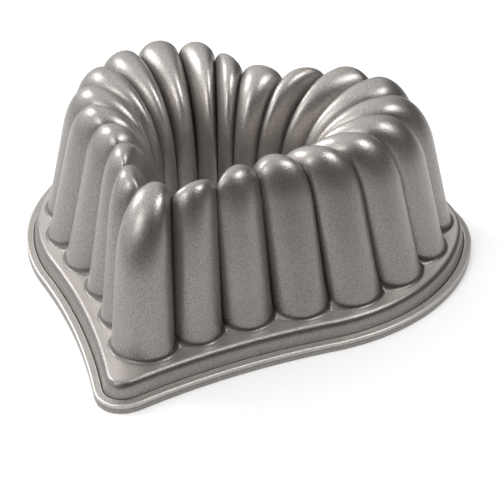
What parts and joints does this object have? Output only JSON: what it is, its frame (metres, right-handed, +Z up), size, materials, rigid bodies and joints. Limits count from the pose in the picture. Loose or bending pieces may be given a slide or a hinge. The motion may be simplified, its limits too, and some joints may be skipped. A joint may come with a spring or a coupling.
{
  "type": "heart fluted tube pan",
  "caption": "Cast aluminium baking pan in the shape of a heart, with round flutes over its wall and crown, a stepped rim and an open centre tube.",
  "frame": {"origin": "middle of the rim's outline box, on the flat face under the rim that the upturned pan rests on", "axes": "+Z up through the flutes' crowns, -Y towards the heart's tip, +X towards its right lobe"},
  "size_m": [0.2596, 0.2614, 0.0979],
  "materials": {
    "cast_aluminium": "bead-blasted satin casting"
  },
  "bodies": {
    "root": {"pan": "cast_aluminium"}
  },
  "joints": []
}
